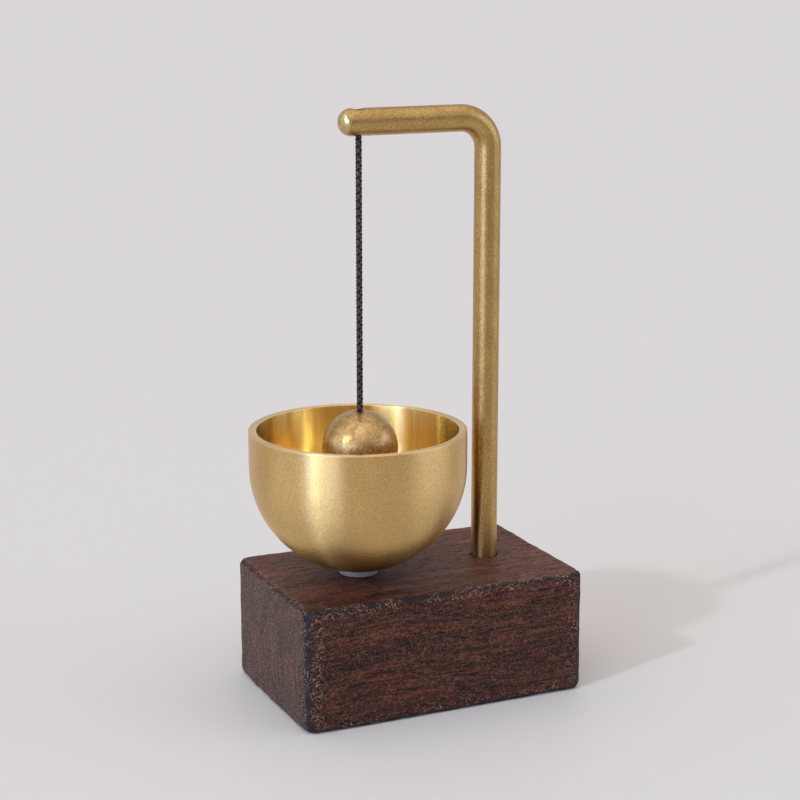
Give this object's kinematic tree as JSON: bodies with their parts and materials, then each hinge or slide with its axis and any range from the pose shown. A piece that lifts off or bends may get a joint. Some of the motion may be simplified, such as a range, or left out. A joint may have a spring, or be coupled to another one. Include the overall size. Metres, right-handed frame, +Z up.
{
  "type": "temple bell",
  "caption": "Desk temple bell: an upright brass bowl on a hardwood block, rung by a brass ball hung on a cord from a bent brass rod.",
  "frame": {"origin": "centre of the block's flat underside", "axes": "+X along the block from the bowl towards the rod, +Y towards the back, +Z up along the rod"},
  "size_m": [0.0709, 0.0486, 0.132],
  "materials": {
    "stained_wood": "satin stain, worn at the edges",
    "bowl_brass": "satin, fine turning lines",
    "rod_brass": "satin drawn rod",
    "ball_brass": "tumbled, slightly tarnished",
    "screw_brass": "bright",
    "zinc_steel": "zinc plated",
    "white_nylon": "satin, slightly translucent",
    "waxed_cord": "braided, waxed"
  },
  "bodies": {
    "stand": {"base_block": "stained_wood", "bell_bowl": "bowl_brass", "bowl_spacer": "white_nylon", "bowl_screw": "screw_brass", "bowl_screw_washer": "screw_brass", "bent_rod": "rod_brass", "rod_screw": "zinc_steel", "rod_screw_washer": "zinc_steel"},
    "cord_seat": {"cord_top_knot": "waxed_cord"},
    "clapper": {"cord": "waxed_cord", "cord_bottom_knot": "waxed_cord", "clapper_ball": "ball_brass"}
  },
  "joints": [
    {"name": "cord_twist", "type": "hinge", "parent": "stand", "child": "cord_seat", "pos_m": [-0.012, 0, 0.126], "axis": [0, 0, 1], "continuous": true},
    {"name": "clapper_swing", "type": "hinge", "parent": "cord_seat", "child": "clapper", "pos_m": [-0.012, 0, 0.126], "axis": [0, 1, 0], "range_deg": [-11.1, 11.1]}
  ]
}
